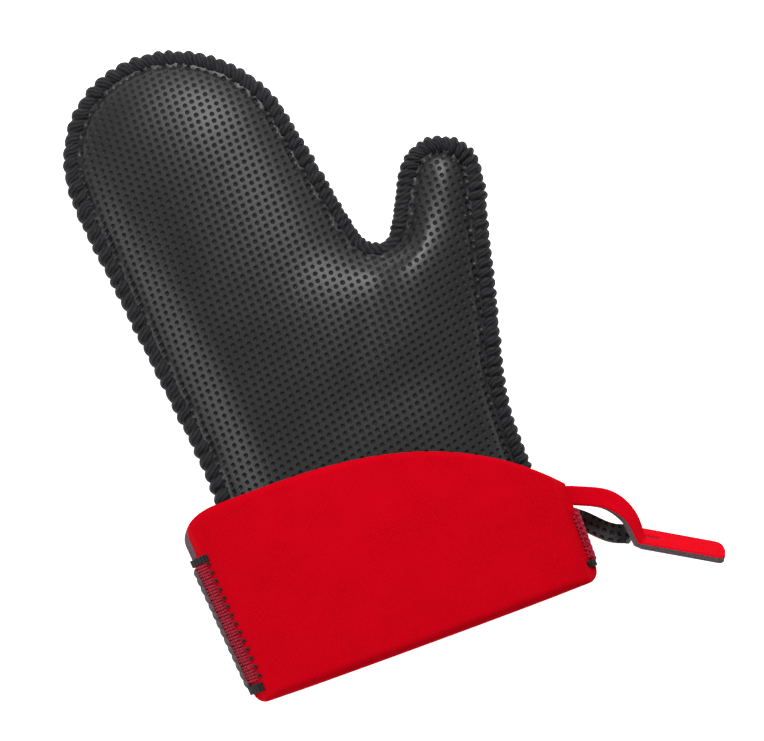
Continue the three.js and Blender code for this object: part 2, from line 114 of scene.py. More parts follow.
def makePiece(name, points, faces, materials, faceMaterial=None, uv=None, values=None, sharp=50, weld=False):
    # faces is a list of whole arrays, one row of vertex numbers to a face; weld joins equal corners
    mesh = bpy.data.meshes.new(name)
    mesh.vertices.add(len(points))
    mesh.vertices.foreach_set("co", toWorld(points).astype(np.float32).ravel())
    corners = np.concatenate([group.ravel() for group in faces]).astype(np.int32)
    sizes = np.concatenate([np.full(len(group), group.shape[1]) for group in faces])
    mesh.loops.add(len(corners))
    mesh.loops.foreach_set("vertex_index", corners)
    mesh.polygons.add(len(sizes))
    starts = np.concatenate([[0], np.cumsum(sizes)[:-1]]).astype(np.int32)
    mesh.polygons.foreach_set("loop_start", starts)
    mesh.polygons.foreach_set("use_smooth", np.ones(len(sizes), bool))
    for material in materials:
        mesh.materials.append(material)
    if faceMaterial is not None:
        mesh.polygons.foreach_set("material_index", np.asarray(faceMaterial, np.int32))
    mesh.update(calc_edges=True)
    if uv is not None:
        layer = mesh.uv_layers.new(name="UVMap")
        layer.data.foreach_set("uv", np.asarray(uv, np.float32)[corners].ravel())
    for key, array in (values or {}).items():
        mesh.attributes.new(key, "FLOAT", "POINT").data.foreach_set("value", array.astype(np.float32))
    if weld:
        joined = bmesh.new()
        joined.from_mesh(mesh)
        bmesh.ops.remove_doubles(joined, verts=joined.verts, dist=2e-6)
        joined.to_mesh(mesh)
        joined.free()
    mesh.set_sharp_from_angle(angle=math.radians(sharp))
    piece = bpy.data.objects.new(name, mesh)
    bpy.context.scene.collection.objects.link(piece)
    return piece


def gridFaces(rows, columns, first=0, around=False):
    # quads of a grid numbered row by row; around joins the last column to the first
    i = np.arange(rows - 1)[:, None]
    j = np.arange(columns if around else columns - 1)[None, :]
    a = first + i * columns + j
    b = first + i * columns + (j + 1) % columns
    return stacked(a, b, b + columns, a + columns).reshape(-1, 4)


def thickSheet(outer, inner):
    # outer and inner are (rows, columns, 3) grids; returns points and faces of the closed slab between
    # them: outer skin, inner skin and rim, in that order
    rows, columns = outer.shape[:2]
    count = rows * columns
    points = np.concatenate([outer.reshape(-1, 3), inner.reshape(-1, 3)])
    skin = gridFaces(rows, columns)
    lining = gridFaces(rows, columns, count)[:, ::-1]
    top = np.arange(columns)
    side = np.arange(rows) * columns
    loop = np.concatenate([top[:-1], side[:-1] + columns - 1, (rows - 1) * columns + top[:0:-1], side[:0:-1]])
    after = np.roll(loop, -1)
    rim = np.stack([after, loop, loop + count, after + count], -1)
    return points, skin, lining, rim


def endFans(rows, sides):
    # triangles that close a tube: the two points after its grid are the middles of its ends
    k = np.arange(sides)
    after = (k + 1) % sides
    last = (rows - 1) * sides
    first = np.stack([np.full(sides, rows * sides), after, k], -1)
    return np.concatenate([first, np.stack([np.full(sides, rows * sides + 1), last + k, last + after], -1)])


def outward(points, faces):
    # faces turned round where the closed shape they bound would be inside out
    volume = 0
    for group in faces:
        for k in range(1, group.shape[1] - 1):
            a, b, c = points[group[:, 0]], points[group[:, k]], points[group[:, k + 1]]
            volume += (a * np.cross(b, c)).sum()
    return faces if volume > 0 else [group[:, ::-1] for group in faces]


def tubePiece(name, path, across, up, wide, tall, angle, roundness, along, girth, material):
    # a closed section carried along a path: angle runs from across towards up; wide and tall are
    # (rows, sides) arrays; the map is in metres, along the tube and round it at the girth's radius
    c, s = (np.sign(turn) * np.abs(turn) ** roundness for turn in (np.cos(angle), np.sin(angle)))
    ring = path[:, None] + across[:, None] * (wide * c)[..., None] + up[:, None] * (tall * s)[..., None]
    points = np.concatenate([ring.reshape(-1, 3), path[:1], path[-1:]])
    faces = [gridFaces(*ring.shape[:2], around=True), endFans(*ring.shape[:2])]
    grid = stacked(along[:, None] / 1000, angle[None] * girth / 1000).reshape(-1, 2)
    uv = np.concatenate([grid, np.zeros((2, 2))])
    return makePiece(name, points, outward(points, faces), [material], uv=uv, sharp=80)


def respaced(line, count):
    along = runAlong(line)
    at = np.linspace(0, along[-1], count)
    return np.stack([np.interp(at, along, line[:, k]) for k in range(line.shape[1])], -1)


def smoothLine(points, count):
    # centripetal Catmull-Rom curve through the points, then evenly spaced
    p = np.asarray(points, float)
    p = np.vstack([2 * p[0] - p[1], p, 2 * p[-1] - p[-2]])
    knots = runAlong(p, 0.5)
    t = np.linspace(knots[1], knots[-2], 60 * len(p))
    k = np.clip(np.searchsorted(knots, t, side="right") - 1, 1, len(p) - 3)

    def mix(a, b, i, j):
        return a + (b - a) * ((t - knots[k + i]) / (knots[k + j] - knots[k + i]))[:, None]

    a1, a2, a3 = mix(p[k - 1], p[k], -1, 0), mix(p[k], p[k + 1], 0, 1), mix(p[k + 1], p[k + 2], 1, 2)
    b1, b2 = mix(a1, a2, -1, 1), mix(a2, a3, 0, 2)
    return respaced(mix(b1, b2, 0, 1), count)


def tangents(line):
    return unit(np.gradient(line, axis=0))


def inset(line, distance):
    # moved to the right of the way round, which is inwards
    t = tangents(line)
    return line + np.stack([t[:, 1], -t[:, 0]], -1) * np.reshape(distance, (-1, 1))


def arc(x, y, radius, fromAngle, toAngle, count):
    angle = np.radians(np.linspace(fromAngle, toAngle, count))
    return np.stack([x + radius * np.cos(angle), y + radius * np.sin(angle)], -1)


def outerLine(foot, count):
    # outer line of the overlocked edge, from the left foot over the fingers to the right foot
    left, right = mitt["wristX"] - mitt["wristHalf"], mitt["wristX"] + mitt["wristHalf"]
    centre = np.array([mitt["fingerX"], mitt["length"] - mitt["fingerRadius"]])
    angle = np.radians(np.linspace(182, -2, 9))
    fuller = mitt["fingerShoulder"] * np.cos(2 * (angle - math.radians(mitt["shoulderAngle"])))
    fingers = centre + (mitt["fingerRadius"] + fuller)[:, None] * np.stack([np.cos(angle), np.sin(angle)], -1)
    web = arc(mitt["webX"], mitt["webY"], mitt["webRadius"], 192, 345, 5)
    thumb = arc(mitt["thumbX"], mitt["thumbY"], mitt["thumbRadius"], 148, -12, 7)
    leftWrist = np.array([left, mitt["wristTop"]])
    rightWrist = np.array([right + 1, mitt["wristTop"] - 12])
    middle = (foot + mitt["wristTop"]) / 2
    stops = [[left, foot], [left, middle], leftWrist]
    stops += [leftWrist + (fingers[0] - leftWrist) * share for share in (0.35, 0.7)]
    stops += [*fingers, *web, *thumb]
    stops += [thumb[6] + (rightWrist - thumb[6]) * share for share in (0.3, 0.65)]
    stops += [rightWrist, [right, middle], [right, foot]]
    return smoothLine(np.array([np.asarray(stop, float) for stop in stops]), count)


class Field:
    # values on a square grid, read anywhere by cubic B-spline weights, which also smooth them a little
    def __init__(self, low, step, values):
        self.low, self.step, self.values = np.asarray(low, float), step, values

    def __call__(self, x, y):
        fx = (np.asarray(x, float) - self.low[0]) / self.step
        fy = (np.asarray(y, float) - self.low[1]) / self.step
        rows, columns = self.values.shape
        i = np.clip(np.floor(fx).astype(int), 1, columns - 3)
        j = np.clip(np.floor(fy).astype(int), 1, rows - 3)
        u, v = np.clip(fx - i, 0, 1), np.clip(fy - j, 0, 1)

        def weights(t):
            return ((1 - t) ** 3 / 6, (3 * t ** 3 - 6 * t ** 2 + 4) / 6,
                    (-3 * t ** 3 + 3 * t ** 2 + 3 * t + 1) / 6, t ** 3 / 6)

        total = 0
        for b, wb in enumerate(weights(v)):
            for a, wa in enumerate(weights(u)):
                total = total + wa * wb * self.values[j + b - 1, i + a - 1]
        return total


def gridOver(line, step, margin):
    low, high = line.min(0) - margin, line.max(0) + margin
    return low, np.meshgrid(*(np.arange(start, end, step) for start, end in zip(low, high)))


def insideDistance(x, y, line):
    # distance to a closed line, positive inside it
    p = np.stack([x.ravel(), y.ravel()], -1)
    a, b = line, np.roll(line, -1, axis=0)
    best = np.full(len(p), 1e9)
    inside = np.zeros(len(p), bool)
    for start in range(0, len(p), 4000):
        q = p[start:start + 4000, None]
        ab = (b - a)[None]
        t = np.clip(((q - a) * ab).sum(-1) / np.maximum((ab ** 2).sum(-1), 1e-9), 0, 1)
        best[start:start + 4000] = np.linalg.norm(q - a - ab * t[..., None], axis=-1).min(1)
        crosses = (a[None, :, 1] > q[..., 1]) != (b[None, :, 1] > q[..., 1])
        slope = (b - a)[:, 0] / np.where(np.abs((b - a)[:, 1]) < 1e-9, 1e-9, (b - a)[:, 1])
        crosses &= q[..., 0] < a[:, 0] + (q[..., 1] - a[:, 1]) * slope
        inside[start:start + 4000] = crosses.sum(1) % 2 == 1
    return np.where(inside, best, -best).reshape(x.shape)


def crownFields():
    # stretched-skin equation: curvature of the skin plus height over spread squared is one, with the
    # flat band along the edge held at nought; relaxed on alternate squares
    step = 1.5
    deep = outerLine(mitt["foot"] - 4 * mitt["spread"], 420)
    low, (x, y) = gridOver(deep, step, 6)
    distance = insideDistance(x, y, deep)
    free = np.clip((distance - mitt["flatBand"]) / step + 0.5, 0, 1)
    source = (step / mitt["spread"]) ** 2
    hold = 40 * (1 - free)
    share = np.zeros_like(x)
    odd = (np.add.outer(np.arange(x.shape[0]), np.arange(x.shape[1])) % 2).astype(bool)
    for sweep in range(240):
        for squares in (odd, ~odd):
            around = np.zeros_like(share)
            around[1:-1, 1:-1] = share[:-2, 1:-1] + share[2:, 1:-1] + share[1:-1, :-2] + share[1:-1, 2:]
            fresh = (around + source * free) / (4 + source + hold)
            share = np.where(squares, share + 1.8 * (fresh - share), share)
    return Field(low, step, np.maximum(share, 0)), Field(low, step, distance)


crown, fromEdge = crownFields()
print("crown of the panels worked out")

# Soft folds and swellings of the skin: middle, reach along and across, heading in degrees, height
palmSwells = [
    ((54, 176), (30, 16), 66, 2.4),      # root of the thumb
    ((22, 150), (34, 10), 60, -1.6),     # hollow between palm and thumb
    ((48, 180), (17, 14), 40, 2.2),      # ball of the thumb, beside the web
    ((84, 214), (17, 8), 85, 1.2),
    ((-48, 140), (60, 14), 96, 1.0),     # long swelling on the little finger's side
    ((-20, 270), (26, 18), 40, 1.1),
    ((-62, 240), (30, 12), 80, -0.9),
    ((14, 196), (30, 12), 24, -0.6),     # shallow fold that runs from the web
    ((20, 118), (30, 14), 10, -0.8),
]


def swells(x, y, table):
    total = 0
    for (cx, cy), (along, across), heading, height in table:
        c, s = math.cos(math.radians(heading)), math.sin(math.radians(heading))
        u, v = (x - cx) * c + (y - cy) * s, (y - cy) * c - (x - cx) * s
        total = total + height * np.exp(-(u / along) ** 2 - (v / across) ** 2)
    return total


def panelHeight(side, x, y):
    # height of a panel's outer face: side 1 is the palm, -1 the back, which is flat where it rests
    share = crown(x, y)
    distance = fromEdge(x, y)
    calm = smoothStep(distance, 7, 20)
    groove = mitt["grooveDeep"] * np.exp(-((distance - mitt["grooveFrom"]) / mitt["grooveHalf"]) ** 2)
    if side > 0:
        bump = calm * swells(x, y, palmSwells)
        return seamHeight + mitt["halfStack"] + mitt["palmCrown"] * share - groove + bump
    low = seamHeight - mitt["halfStack"] - mitt["backCrown"] * share + groove
    floor = 0.25 + 4.4 * (1 - smoothStep(y, 101, 127))
    return softMax(low, floor, 1.2)


def panelPoint(side, x, y, depth):
    # a point depth in from a panel's outer face, measured square to it
    e = 0.8
    z = panelHeight(side, x, y)
    hx = (panelHeight(side, x + e, y) - panelHeight(side, x - e, y)) / (2 * e)
    hy = (panelHeight(side, x, y + e) - panelHeight(side, x, y - e)) / (2 * e)
    normal = unit(np.stack([-hx, -hy, np.ones_like(hx)], -1)) * side
    return np.stack([x, y, z], -1) - normal * np.asarray(depth)[..., None]


class Shader:
    # a Principled material and short ways to wire its nodes
    def __init__(self, name, **settings):
        self.material = bpy.data.materials.new(name)
        self.material.use_nodes = True
        self.tree = self.material.node_tree
        self.surface = self.tree.nodes["Principled BSDF"]
        self.coords = None
        for key, value in settings.items():
            self.surface.inputs[key.replace("_", " ")].default_value = value

    def node(self, kind, wires=(), **settings):
        made = self.tree.nodes.new(kind)
        for key, value in settings.items():
            setattr(made, key, value)
        for socket, source in dict(wires).items():
            if isinstance(source, bpy.types.NodeSocket):
                self.tree.links.new(source, made.inputs[socket])
            else:
                made.inputs[socket].default_value = source
        return made

    def objectCoords(self):
        if self.coords is None:
            self.coords = self.node("ShaderNodeTexCoord").outputs["Object"]
        return self.coords

    def noise(self, scale, detail=3, vector=None):
        wires = {"Scale": scale, "Detail": detail, "Vector": vector or self.objectCoords()}
        return self.node("ShaderNodeTexNoise", wires).outputs["Fac"]

    def wave(self, scale, distortion, direction="X", angle=0.0, **more):
        wires = {"Vector": self.uv(angle), "Scale": scale, "Distortion": distortion}
        wires.update({key.replace("_", " "): value for key, value in more.items()})
        made = self.node("ShaderNodeTexWave", wires, wave_type="BANDS", bands_direction=direction)
        return made.outputs["Fac"]

    def math(self, operation, a, b=0.5):
        return self.node("ShaderNodeMath", {0: a, 1: b}, operation=operation).outputs[0]

    def mix(self, share, a, b):
        a, b = (colour if isinstance(colour, bpy.types.NodeSocket) else (*colour, 1) for colour in (a, b))
        return self.node("ShaderNodeMix", {0: share, 6: a, 7: b}, data_type="RGBA").outputs[2]

    def spread(self, value, low, high, toLow=0.0, toHigh=1.0):
        wires = {0: value, 1: low, 2: high, 3: toLow, 4: toHigh}
        return self.node("ShaderNodeMapRange", wires).outputs[0]

    def uv(self, angle=0.0):
        wires = {"Vector": self.node("ShaderNodeUVMap", uv_map="UVMap").outputs[0], "Rotation": (0, 0, angle)}
        return self.node("ShaderNodeMapping", wires).outputs[0]

    def attribute(self, name):
        return self.node("ShaderNodeAttribute", attribute_name=name).outputs["Fac"]

    def bump(self, height, distance, strength=1.0, after=None):
        wires = {"Height": height, "Distance": distance, "Strength": strength}
        if after is not None:
            wires["Normal"] = after
        return self.node("ShaderNodeBump", wires).outputs[0]

    def finish(self, colour=None, normal=None, roughness=None):
        for key, source in (("Base Color", colour), ("Normal", normal), ("Roughness", roughness)):
            if source is not None:
                self.tree.links.new(source, self.surface.inputs[key])
        return self.material


def rubberMaterial():
    # pitted black rubber: dusty grey on the land, painted shade darkening the pits, a fine moulded grain
    s = Shader("pitted_rubber", Specular_IOR_Level=0.38)
    pit = s.attribute("pit")
    cloud = s.noise(24, 4)
    fine = s.noise(2600, 2)
    land = s.mix(s.spread(cloud, 0.35, 0.68), (0.009, 0.0089, 0.0099), (0.013, 0.0127, 0.0142))
    dusty = s.mix(s.spread(fine, 0.55, 0.75, 0, 0.35), land, (0.022, 0.0215, 0.024))
    # painted shade: the pit attribute mixes the colour towards near-black in the pits
    colour = s.mix(pit, dusty, (0.003, 0.003, 0.0033))
    rough = s.math("ADD", s.spread(cloud, 0.3, 0.7, 0.40, 0.50), s.math("MULTIPLY", pit, 0.3))
    return s.finish(colour, s.bump(fine, 0.00006, 0.6), rough)


def reverseMaterial():
    # the same rubber as the hidden reverse of the knit, its pits drawn by the piece's own map as bumps with
    # painted shade in them
    s = Shader("rubber_reverse", Specular_IOR_Level=0.45, Roughness=0.5)
    dots = s.node("ShaderNodeTexVoronoi", {"Vector": s.uv(), "Scale": 1.0, "Randomness": 0.0})
    land = s.spread(dots.outputs["Distance"], 0.22, 0.32)
    # painted shade: darker in the pits, lighter on the land
    colour = s.mix(land, (0.007, 0.007, 0.0075), (0.034, 0.033, 0.036))
    fine = s.noise(2600, 2)
    return s.finish(colour, s.bump(fine, 0.00005, 0.5, s.bump(land, 0.0005, 0.9)))


def knitMaterial():
    # fine jersey: columns of small loops along v of the map, painted shade between the loops, a faint mottle
    # and a soft nap
    s = Shader("red_jersey", Roughness=0.85, Specular_IOR_Level=0.01, Sheen_Weight=0.03, Sheen_Roughness=0.5,
               Sheen_Tint=(1, 0.08, 0.12, 1))
    loops = s.wave(212, 1.2, Detail=1, Detail_Scale=3)
    weave = s.math("MULTIPLY", loops, s.wave(250, 1.0, "Y"))
    cloud = s.noise(55, 4)
    nap = s.noise(1800, 3)
    base = s.mix(s.spread(cloud, 0.3, 0.7), (0.46, 0.0003, 0.0045), (0.54, 0.0006, 0.007))
    worn = s.mix(s.spread(nap, 0.35, 0.7), base, (0.60, 0.0012, 0.010))
    # painted shade: darker where the loop pattern is low, between the loops
    colour = s.mix(s.spread(weave, 0.0, 0.45, 0.16, 0.0), worn, (0.33, 0.0006, 0.004))
    bump = s.bump(weave, 0.00012, 0.5, s.bump(nap, 0.0001, 0.45))
    return s.finish(colour, bump)


def foamMaterial():
    # cut edge of the laminate: grey-brown foam with open cells, painted shade darkening the cells
    s = Shader("foam_edge", Roughness=0.9, Specular_IOR_Level=0.2)
    cells = s.node("ShaderNodeTexVoronoi", {"Vector": s.objectCoords(), "Scale": 1700}).outputs["Distance"]
    # painted shade: darker in the middle of each cell, where the bump sinks
    colour = s.mix(s.spread(cells, 0.15, 0.6), (0.045, 0.032, 0.035), (0.125, 0.088, 0.096))
    return s.finish(colour, s.bump(cells, 0.00012, 0.7))


def threadMaterial(name="charcoal_thread", dark=(0.007, 0.007, 0.0077), light=(0.022, 0.022, 0.0242)):
    # wrapped yarn: plies slant across each loop, painted shade between them; u is along the seam, v round it,
    # both in metres
    s = Shader(name, Roughness=0.75, Specular_IOR_Level=0.12, Sheen_Weight=0.02, Sheen_Roughness=0.5)
    plies = s.wave(150, 5.0, angle=0.55, Detail=2, Detail_Scale=1.5)
    cloud = s.noise(160, 4)
    fuzz = s.noise(3200, 2)
    # painted shade: the dark colour lies between the plies, where the bump sinks
    colour = s.mix(s.spread(plies, 0.1, 0.9), dark, light)
    colour = s.mix(s.spread(cloud, 0.4, 0.75, 0, 0.5), colour, light)
    return s.finish(colour, s.bump(plies, 0.00028, 0.75, s.bump(fuzz, 0.00012, 0.6)))


def liningMaterial():
    # brushed knit lining, matt, with a short pile
    s = Shader("brushed_lining", Roughness=0.95, Specular_IOR_Level=0.15, Sheen_Weight=0.3,
               Sheen_Roughness=0.6, Sheen_Tint=(1, 0.35, 0.4, 1))
    pile = s.noise(1500, 4)
    cloud = s.noise(40, 3)
    colour = s.mix(s.spread(pile, 0.35, 0.7), (0.30, 0.003, 0.01), (0.52, 0.008, 0.022))
    colour = s.mix(s.spread(cloud, 0.35, 0.75, 0, 0.35), colour, (0.24, 0.002, 0.008))
    return s.finish(colour, s.bump(pile, 0.0003, 0.8))


rubber, reverse, knit, foam = rubberMaterial(), reverseMaterial(), knitMaterial(), foamMaterial()
thread, lining = threadMaterial(), liningMaterial()
maroonThread = threadMaterial("maroon_thread", (0.16, 0.006, 0.016), (0.46, 0.011, 0.034))
print("materials made")


pits = {
    "first": (3.78, 0.94), "second": (0.07, 3.78),    # from one pit to the next along each row
    "rings": ((1.28, 0.03, 0.0), (1.08, 0.34, 0.55), (0.68, 0.62, 1.0)),  # radius, depth, painted shade
    "bottom": 0.76, "swell": 0.07, "thickness": 3.3, "edge": 4.0, "seed": 4, "shift": 0.035, "vary": 0.03,
}


def pittedPanel(side, name):
    # tiles of the pit lattice: each has eight corners shared with its neighbours, rings that step down
    # into the pit, and one flat face on the reverse
    first, second = np.array(pits["first"]), np.array(pits["second"])
    i, j = (index.ravel() for index in np.meshgrid(np.arange(-60, 61), np.arange(-10, 95), indexing="ij"))
    centre = i[:, None] * first + j[:, None] * second
    wide = (np.abs(centre[:, 0]) < 130) & (centre[:, 1] > mitt["foot"] + 2) & (centre[:, 1] < mitt["length"])
    wide &= fromEdge(centre[:, 0], centre[:, 1]) > pits["edge"]
    i, j, centre = i[wide], j[wide], centre[wide]
    around = np.array([(1, 0), (1, 1), (0, 1), (-1, 1), (-1, 0), (-1, -1), (0, -1), (1, -1)])
    m, n = 2 * i[:, None] + around[:, 0], 2 * j[:, None] + around[:, 1]
    keys, corner = np.unique(m * 4096 + n + 500000, return_inverse=True)
    corner = corner.reshape(m.shape)
    shared = np.zeros((len(keys), 2))
    shared[corner.ravel()] = (m[..., None] * first / 2 + n[..., None] * second / 2).reshape(-1, 2)
    draw = np.random.default_rng(pits["seed"])
    shift = draw.normal(0, pits["shift"], centre.shape)
    size = 1 + draw.normal(0, pits["vary"], len(centre))
    size *= 1 - 0.12 * smoothStep(-centre[:, 1], -110, -50)
    away = unit(around[:, :1] * first / 2 + around[:, 1:] * second / 2)
    rings, depths, pitShade = [], [], []
    for radius, depth, dark in pits["rings"]:
        rings.append(centre[:, None] + shift[:, None] + away * (radius * size)[:, None, None])
        depths.append(np.full(rings[-1].shape[:2], depth))
        pitShade.append(np.full(rings[-1].shape[:2], dark))
    swell = np.zeros(len(keys))
    swell[corner[:, np.abs(around).sum(1) == 2].ravel()] = -pits["swell"]
    flat = np.concatenate([shared, *[ring.reshape(-1, 2) for ring in rings], centre + shift, shared])
    depth = np.concatenate([swell, *[d.ravel() for d in depths], np.full(len(centre), pits["bottom"]),
                            np.full(len(keys), pits["thickness"])])
    # painted shade in the pits, kept in the pit attribute: nought on the land, one at the pit's bottom
    value = np.concatenate([np.zeros(len(keys)), *[v.ravel() for v in pitShade], np.ones(len(centre)),
                            np.zeros(len(keys))])
    points = panelPoint(side, flat[:, 0], flat[:, 1], depth)
    cells = len(centre)
    start = len(keys)
    levels = [corner] + [start + k * cells * 8 + np.arange(cells * 8).reshape(cells, 8) for k in range(3)]
    bottom = start + 3 * cells * 8 + np.arange(cells)
    under = start + 3 * cells * 8 + cells
    faces = []
    for outer, inner in zip(levels[:-1], levels[1:]):
        nextOuter, nextInner = np.roll(outer, -1, axis=1), np.roll(inner, -1, axis=1)
        faces.append(np.stack([outer, nextOuter, nextInner, inner], -1).reshape(-1, 4))
    last, nextLast = levels[-1], np.roll(levels[-1], -1, axis=1)
    faces.append(np.stack([last, nextLast, np.repeat(bottom[:, None], 8, 1)], -1).reshape(-1, 3))
    faces.append(corner[:, ::-1] + under)
    a, b = corner.ravel(), np.roll(corner, -1, axis=1).ravel()
    single = usedOnce(a, b)
    a, b = a[single], b[single]
    faces.append(np.stack([b, a, a + under, b + under], -1))
    faces = outward(points, faces)
    onReverse = groupOf(faces) == len(faces) - 2
    print(name, cells, "pits")
    return makePiece(name, points, faces, [rubber, foam], onReverse, values={"pit": value})


palm = pittedPanel(1, "palm_face")
back = pittedPanel(-1, "back_face")


linings = {"edge": 0.75, "cell": 5.0, "thickness": 0.8, "from": 3.65}


def liningSheet(side, name):
    # a thin sheet inside each panel: its outline is cut along the edge, its middle filled with triangles
    line = outerLine(mitt["foot"], 520)
    ring = inset(line, linings["edge"])
    low, (x, y) = gridOver(ring, linings["cell"], 0)
    inner = fromEdge(x, y) > 3.5
    inner &= y > mitt["foot"] + 3
    loose = np.stack([x[inner], y[inner]], -1)
    flat = np.concatenate([ring, loose])
    order = list(range(len(ring)))
    verts, _, tris, *_ = delaunay_2d_cdt([Vector(p) for p in flat.tolist()], [], [order], 1, 1e-4)
    flat = np.array([tuple(v) for v in verts])
    faces = np.array(tris, int)
    a, b, c = flat[faces[:, 0]], flat[faces[:, 1]], flat[faces[:, 2]]
    turn = (b - a)[:, 0] * (c - a)[:, 1] - (b - a)[:, 1] * (c - a)[:, 0]
    faces = np.where((turn > 0)[:, None], faces, faces[:, ::-1])
    skins = []
    for depth in (linings["from"], linings["from"] + linings["thickness"]):
        p = panelPoint(side, flat[:, 0], flat[:, 1], depth)
        limit = seamHeight + side * (0.2 if depth > linings["from"] else 0.2 + linings["thickness"])
        p[:, 2] = side * np.maximum(side * p[:, 2], side * limit)
        skins.append(p)
    count = len(flat)
    edges = np.concatenate([faces[:, [0, 1]], faces[:, [1, 2]], faces[:, [2, 0]]])
    rim = edges[usedOnce(edges[:, 0], edges[:, 1])]
    walls = np.stack([rim[:, 1], rim[:, 0], rim[:, 0] + count, rim[:, 1] + count], -1)
    points = np.concatenate(skins)
    return makePiece(name, points, outward(points, [faces, faces[:, ::-1] + count, walls]), [lining])


palmLining = liningSheet(1, "palm_lining_knit")
backLining = liningSheet(-1, "back_lining_knit")
print("linings made")


bead = {
    "inset": 4.7, "halfWidth": 5.3, "halfHeight": 7.3, "step": 0.55, "sides": 30, "seed": 11,
    "crease": 0.25, "skew": 0.16, "foot": 2, "fineFrom": 14, "fineTo": 34,
    "leftPitch": 6.3, "rightPitch": 4.9, "tipPitch": 0.7, "webPitch": 3.0,    # the tip adds to the others
}


def nearWeb(line):
    # one in the web, falling to nought away from it
    away = np.hypot(line[:, 0] - mitt["webX"], line[:, 1] - mitt["webY"])
    return 1 - smoothStep(away, bead["fineFrom"], bead["fineTo"])


def beadPitch(line):
    # distance between knuckles: wide round the fingertips, tight in the web
    x, y = line[:, 0], line[:, 1]
    pitch = np.where(x < mitt["fingerX"], bead["leftPitch"], bead["rightPitch"])
    pitch = pitch + bead["tipPitch"] * smoothStep(y, 255, 285)
    return pitch + (bead["webPitch"] - pitch) * nearWeb(line)


def overlockedEdge():
    # bead along the raw edges: the phase of the knuckles is the sum of step over pitch, and each
    # knuckle is the power of a sine, slanted across the bead and varied from one to the next
    line = outerLine(mitt["foot"] + bead["foot"], int(900 / bead["step"]))
    middle = inset(line, bead["inset"])
    step = np.linalg.norm(np.diff(line, axis=0), axis=1).mean()
    along = np.arange(len(line)) * step
    phase = np.cumsum(step / beadPitch(line))
    draw = np.random.default_rng(bead["seed"])
    count = int(phase.max()) + 6
    size = 1 + draw.normal(0, 0.05, count)
    nudge = draw.normal(0, 0.07, count)
    phase = phase + np.interp(phase, np.arange(count), nudge)
    angle = circle(bead["sides"])
    outside = np.cos(angle)[None]
    fine = nearWeb(line)[:, None]
    slanted = phase[:, None] + bead["skew"] * outside + 2
    knuckle = np.abs(np.sin(np.pi * slanted)) ** 0.7
    own = size[np.clip(np.floor(slanted).astype(int), 0, count - 1)]
    crease = bead["crease"] * (0.75 + 0.45 * np.clip(outside, -0.6, 1)) * (1 - 0.45 * fine)
    swell = (1 - crease * (1 - knuckle)) * (1 + (own - 1) * knuckle)
    plies = 0.006 * np.sin(2 * np.pi * (slanted * 5 + angle[None] * 1.2)) * knuckle
    swell = (swell + plies) * (1 - 0.10 * fine)
    path = np.column_stack([middle, np.full(len(middle), float(seamHeight))])
    t = tangents(line)
    across = np.column_stack([-t[:, 1], t[:, 0], np.zeros(len(t))])
    up = np.tile([0.0, 0.0, 1.0], (len(t), 1))
    wide, tall = bead["halfWidth"] * swell, bead["halfHeight"] * swell
    return tubePiece("overlocked_edge", path, across, up, wide, tall, angle, 0.86, along, 5.6, thread)


def stitchBars(name, groups, radius, material, sides=6, rows=7, arch=0.35):
    # short thread bars: a round section from start to end, thin at the ends, arched along its up;
    # a group is its starts, its ends and one up direction
    starts, ends, ups = (np.concatenate([np.broadcast_to(np.asarray(group[k], float), group[0].shape)
                                         for group in groups]) for k in range(3))
    count = len(starts)
    share = np.linspace(0, 1, rows)
    angle = circle(sides)
    along = unit(ends - starts)
    up = unit(ups - along * (ups * along).sum(-1, keepdims=True))
    across = np.cross(along, up)
    centre = starts[:, None] + (ends - starts)[:, None] * share[None, :, None]
    centre = centre + up[:, None] * (arch * np.sin(np.pi * share))[None, :, None]
    thick = radius * (0.35 + 0.65 * np.sin(np.pi * np.clip(share, 0.02, 0.98)) ** 0.5)
    ring = np.cos(angle)[:, None] * across[:, None, None] + np.sin(angle)[:, None] * up[:, None, None]
    points = centre[:, :, None] + ring * thick[None, :, None, None]
    tips = np.stack([centre[:, 0], centre[:, -1]], 1)
    points = np.concatenate([points.reshape(count, -1, 3), tips], 1)
    size = rows * sides + 2
    first = (np.arange(count) * size)[:, None, None]
    kinds = gridFaces(rows, sides, around=True), endFans(rows, sides)
    faces = [(kind[None] + first).reshape(-1, kind.shape[1]) for kind in kinds]
    points = points.reshape(-1, 3)
    length = np.repeat(np.linalg.norm(ends - starts, axis=1)[:, None], rows, 1) * share[None]
    uv = stacked(length[:, :, None] / 1000, (angle * radius / 1000)[None, None])
    uv = np.concatenate([uv.reshape(count, -1, 2), np.zeros((count, 2, 2))], 1).reshape(-1, 2)
    return makePiece(name, points, outward(points, faces), [material], uv=uv, sharp=80)


edge = overlockedEdge()
print("overlocked edge made:", len(edge.data.polygons), "faces")


cuff = {
    "leftFoot": -90, "leftTop": -98, "crownX": -65, "crownY": 97, "cornerX": -76, "cornerY": 13,
    "dropRight": 47.6, "crown": 22, "slot": 3.5, "pinchedSlot": 0.4, "hemEdge": 1.0, "hemHeight": 12,
    "footCorner": 5.5, "bevel": 3.2, "clearance": 0.9,
    "columns": 200, "leafRows": 96, "foldRows": 22, "hemRows": 8,
}


def cuffLeft(y):
    return cuff["leftFoot"] + (cuff["leftTop"] - cuff["leftFoot"]) * y / 88.4


